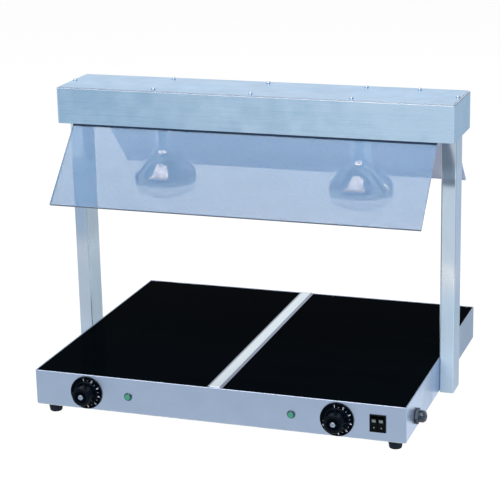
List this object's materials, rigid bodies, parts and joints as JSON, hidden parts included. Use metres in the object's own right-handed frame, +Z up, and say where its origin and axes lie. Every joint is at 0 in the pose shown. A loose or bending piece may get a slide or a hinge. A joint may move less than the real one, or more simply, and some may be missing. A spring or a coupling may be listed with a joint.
{
  "type": "heated food display",
  "caption": "Countertop food warmer: a low steel base with black glass hot plates and knobs, and a lamp canopy on side posts with tilted clear guards.",
  "frame": {"origin": "on the table, under the middle of the whole footprint, knobs included", "axes": "+X to the right along the width, +Y from the control panel to the rear, +Z up"},
  "size_m": [0.8, 0.63, 0.6042],
  "materials": {
    "brushed_steel": "brushed stainless sheet",
    "polished_steel": "bright polished stainless sheet",
    "inner_sheet": "plain zinc-coated sheet",
    "bright_fasteners": "bright nickel plated",
    "black_glass": "black ceramic hob glass, glossy",
    "guard_glass": "clear sheet with a pale blue cast",
    "lamp_glass": "blown glass, silvered inside above the widest place, clear below",
    "black_rubber": "black rubber, matt",
    "black_plastic": "black moulded plastic, satin gloss",
    "green_lens": "clear green lens",
    "regulator_plastic": "pale heat-proof moulding",
    "ceramic": "white glazed ceramic",
    "mica": "mica card with resistance ribbon",
    "fibre_mat": "white ceramic fibre mat"
  },
  "bodies": {
    "warmer": {"base_housing": "brushed_steel", "canopy_body": "brushed_steel", "canopy_lid": "brushed_steel", "centre_strip": "brushed_steel", "post_left": "polished_steel", "post_right": "polished_steel", "post_cover_left": "polished_steel", "post_cover_right": "polished_steel", "bottom_cover": "inner_sheet", "canopy_floor": "inner_sheet", "centre_rail": "inner_sheet", "heater_pan_left": "inner_sheet", "heater_pan_right": "inner_sheet", "post_bracket_left": "inner_sheet", "post_bracket_right": "inner_sheet", "canopy_bolts": "bright_fasteners", "post_bolts": "bright_fasteners", "lid_screws": "bright_fasteners", "regulator_nuts": "bright_fasteners", "pilot_bodies": "bright_fasteners", "glass_plate_left": "black_glass", "glass_plate_right": "black_glass", "guard_front": "guard_glass", "guard_rear": "guard_glass", "lamp_bulbs": "lamp_glass", "feet": "black_rubber", "guard_gasket_front": "black_rubber", "guard_gasket_rear": "black_rubber", "switch_case": "black_plastic", "cord_gland": "black_plastic", "pilot_lenses": "green_lens", "regulator_left": "regulator_plastic", "regulator_right": "regulator_plastic", "terminal_block": "regulator_plastic", "lamp_holders": "ceramic", "heater_left": "mica", "heater_right": "mica", "insulation_mat_left": "fibre_mat", "insulation_mat_right": "fibre_mat"},
    "knob_left": {"knob_left": "black_plastic", "knob_screw_left": "bright_fasteners", "regulator_spindle_left": "bright_fasteners"},
    "knob_right": {"knob_right": "black_plastic", "knob_screw_right": "bright_fasteners", "regulator_spindle_right": "bright_fasteners"},
    "rocker_left": {"rocker_left": "black_plastic"},
    "rocker_right": {"rocker_right": "black_plastic"}
  },
  "joints": [
    {"name": "knob_left_turn", "type": "hinge", "parent": "warmer", "child": "knob_left", "pos_m": [-0.261, -0.285, 0.055], "axis": [0, -1, 0], "range_deg": [0, 270]},
    {"name": "knob_right_turn", "type": "hinge", "parent": "warmer", "child": "knob_right", "pos_m": [0.238, -0.285, 0.055], "axis": [0, -1, 0], "range_deg": [0, 270]},
    {"name": "rocker_left_tip", "type": "hinge", "parent": "warmer", "child": "rocker_left", "pos_m": [0.30825, -0.2832, 0.055], "axis": [-1, 0, 0], "range_deg": [0, 20]},
    {"name": "rocker_right_tip", "type": "hinge", "parent": "warmer", "child": "rocker_right", "pos_m": [0.32175, -0.2832, 0.055], "axis": [-1, 0, 0], "range_deg": [0, 20]}
  ]
}
